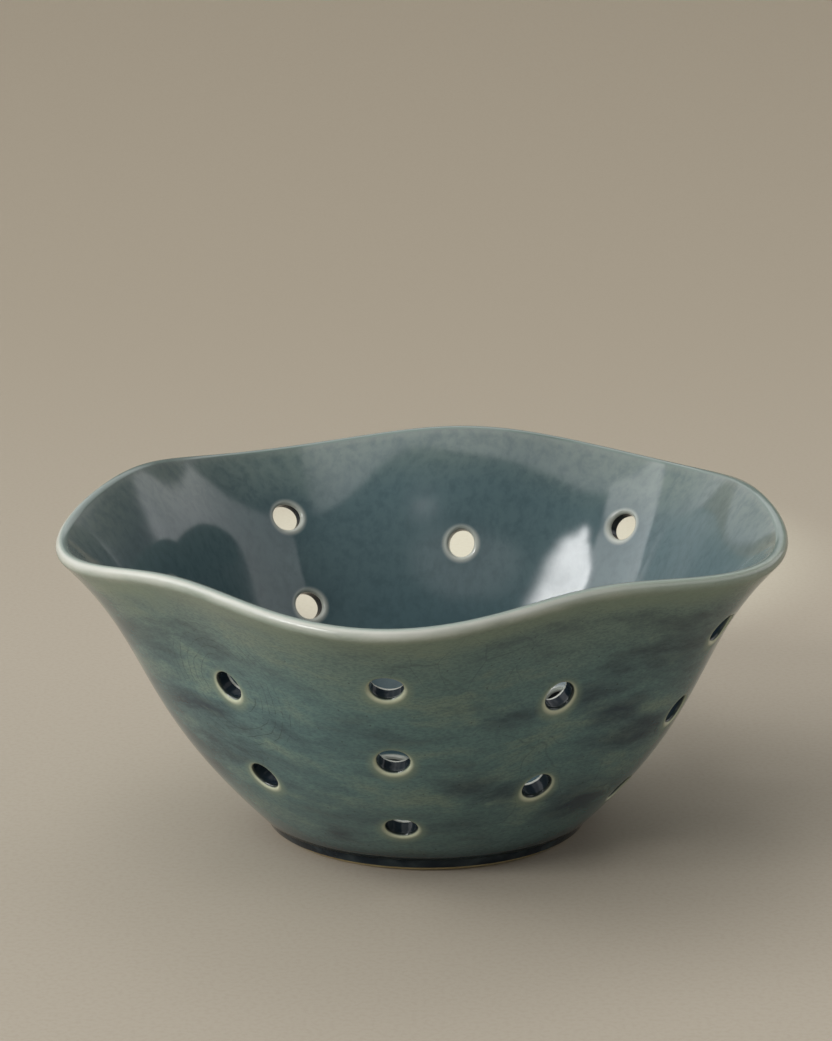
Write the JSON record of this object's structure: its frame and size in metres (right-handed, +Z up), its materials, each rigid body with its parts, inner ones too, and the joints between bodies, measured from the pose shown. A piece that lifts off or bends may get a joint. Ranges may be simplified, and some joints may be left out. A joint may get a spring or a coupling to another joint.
{
  "type": "berry colander bowl",
  "caption": "Glazed stoneware berry bowl with a wavy lobed rim, a turned foot ring and staggered round drain holes through its wall and floor.",
  "frame": {"origin": "centre of the standing face of the foot ring", "axes": "+Z up out of the mouth of the bowl, +X to the right of the picture and -Y towards its viewer"},
  "size_m": [0.1598, 0.1621, 0.0749],
  "materials": {
    "clay": "bare fired stoneware",
    "outer_glaze": "glossy grey-green celadon",
    "liner_glaze": "glossy deep teal celadon",
    "foot_glaze": "glossy dark pooled glaze",
    "base_glaze": "glossy grey-green celadon",
    "hole_glaze": "glossy dark celadon"
  },
  "bodies": {
    "root": {"clay_bowl": "clay", "foot_ring": "clay", "outer_glaze": "outer_glaze", "liner_glaze": "liner_glaze", "foot_glaze": "foot_glaze", "base_glaze": "base_glaze", "drain_hole_glaze": "hole_glaze"}
  },
  "joints": []
}
